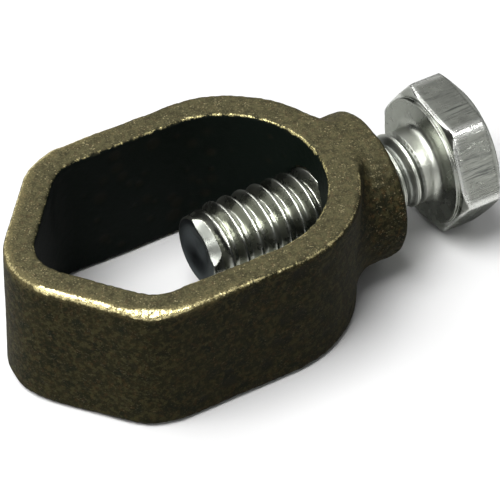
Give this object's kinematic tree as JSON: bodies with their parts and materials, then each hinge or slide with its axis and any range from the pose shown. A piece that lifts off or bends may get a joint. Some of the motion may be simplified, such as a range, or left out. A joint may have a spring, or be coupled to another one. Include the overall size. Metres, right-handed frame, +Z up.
{
  "type": "ground clamp",
  "caption": "Cast bronze ring with a vee end and a round end; a hex-head set screw through a boss presses a ground rod and cable into the vee.",
  "frame": {"origin": "on the surface the ring lies on, under the middle of the clamp's length and width with the screw at rest", "axes": "+X along the screw towards its head, +Y across the ring, +Z up through the ring's opening"},
  "size_m": [0.0396, 0.0198, 0.012],
  "materials": {
    "bronze": "as-cast, dark olive-brown patina, worn bright along the edges",
    "steel": "bright rolled thread and forged head"
  },
  "bodies": {
    "clamp": {"clamp_body": "bronze"},
    "screw_travel": {"screw_core": "steel"},
    "screw": {"clamp_screw": "steel"}
  },
  "joints": [
    {"name": "screw_slide", "type": "slide", "parent": "clamp", "child": "screw_travel", "axis": [-1, 0, 0], "range_m": [-0.00762, 0.00191]},
    {"name": "screw_turn", "type": "hinge", "parent": "screw_travel", "child": "screw", "pos_m": [0, 0, 0.006], "axis": [-1, 0, 0], "range_deg": [-2161, 541]}
  ],
  "couplings": [
    {"joint": "screw_turn", "follows": "screw_slide", "rad_per_m": 4947.4}
  ]
}
